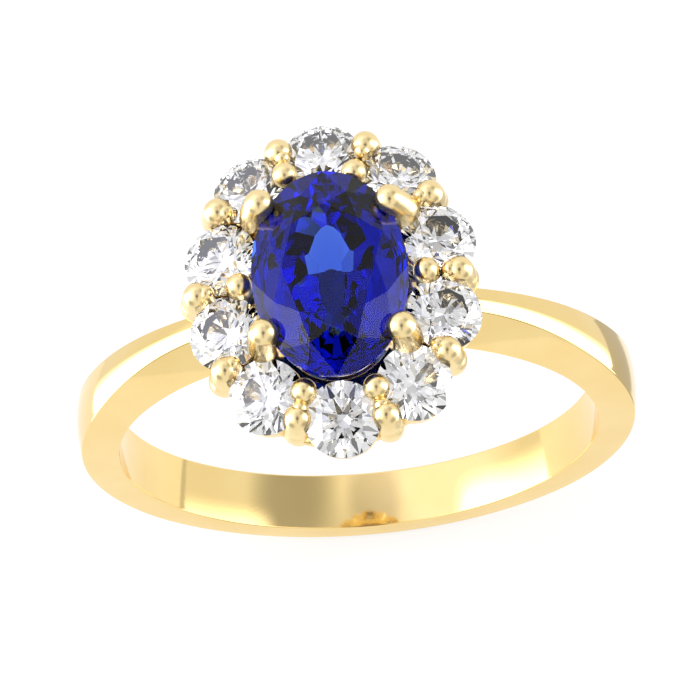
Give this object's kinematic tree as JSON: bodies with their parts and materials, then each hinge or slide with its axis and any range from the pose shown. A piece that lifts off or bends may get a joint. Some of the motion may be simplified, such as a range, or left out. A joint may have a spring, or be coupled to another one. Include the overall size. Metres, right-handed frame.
{
  "type": "gemstone cluster ring",
  "caption": "Oval sapphire in a claw-set halo of round diamonds on a tapered yellow gold finger band.",
  "frame": {"origin": "centre of the finger hole, halfway across the band's width", "axes": "+Z from the finger hole up through the middle of the head; +Y along the finger and along the sapphire's length; +X across the finger, to the right when +Y points away"},
  "size_m": [0.0202, 0.0126, 0.0233],
  "materials": {
    "gold": "polished",
    "sapphire": "polished",
    "diamond": "polished"
  },
  "bodies": {
    "root": {"basket_rail": "gold", "centre_claw_1": "gold", "centre_claw_2": "gold", "centre_claw_3": "gold", "centre_claw_4": "gold", "diamond_1": "diamond", "diamond_10": "diamond", "diamond_2": "diamond", "diamond_3": "diamond", "diamond_4": "diamond", "diamond_5": "diamond", "diamond_6": "diamond", "diamond_7": "diamond", "diamond_8": "diamond", "diamond_9": "diamond", "halo_gallery": "gold", "halo_rail": "gold", "inner_claw_1": "gold", "inner_claw_2": "gold", "inner_claw_3": "gold", "inner_claw_4": "gold", "inner_claw_5": "gold", "inner_claw_6": "gold", "outer_claw_1": "gold", "outer_claw_10": "gold", "outer_claw_2": "gold", "outer_claw_3": "gold", "outer_claw_4": "gold", "outer_claw_5": "gold", "outer_claw_6": "gold", "outer_claw_7": "gold", "outer_claw_8": "gold", "outer_claw_9": "gold", "sapphire": "sapphire", "shank": "gold"}
  },
  "joints": []
}
